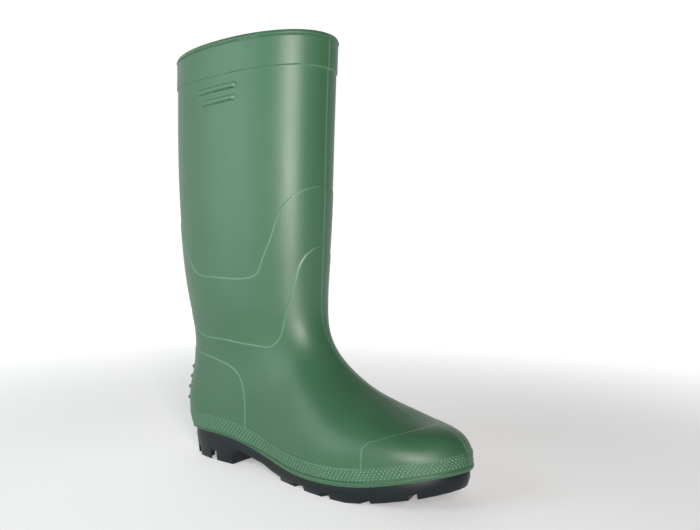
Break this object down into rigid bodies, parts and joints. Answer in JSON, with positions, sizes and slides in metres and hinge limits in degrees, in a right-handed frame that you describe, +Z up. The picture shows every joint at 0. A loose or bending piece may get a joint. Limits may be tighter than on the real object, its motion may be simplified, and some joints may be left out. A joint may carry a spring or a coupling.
{
  "type": "rubber rain boot",
  "caption": "Knee-high moulded rain boot for the right foot, with a lugged sole, knitted lining and a lift-out footbed.",
  "frame": {"origin": "middle of the bounding box, on the ground under the heel and ball", "axes": "+X towards the toe, +Y towards the inner (medial) side of the right foot, +Z up the leg"},
  "size_m": [0.3212, 0.1108, 0.3931],
  "materials": {
    "green_upper": "satin moulded PVC",
    "black_sole": "matt, fine grain on the lugs",
    "knit": "plain knitted sock",
    "fibre_board": "pressed fibre",
    "cork_filler": "agglomerated cork",
    "foam_footbed": "felt-faced foam"
  },
  "bodies": {
    "boot": {"upper": "green_upper", "outsole": "black_sole", "lining": "knit", "insole_board": "fibre_board", "heel_filler": "cork_filler"},
    "footbed": {"insole": "foam_footbed"}
  },
  "joints": [
    {"name": "insole_lift", "type": "hinge", "parent": "boot", "child": "footbed", "pos_m": [0.1515, 0.0016, 0.033], "axis": [0, 1, 0], "range_deg": [0, 10]}
  ]
}
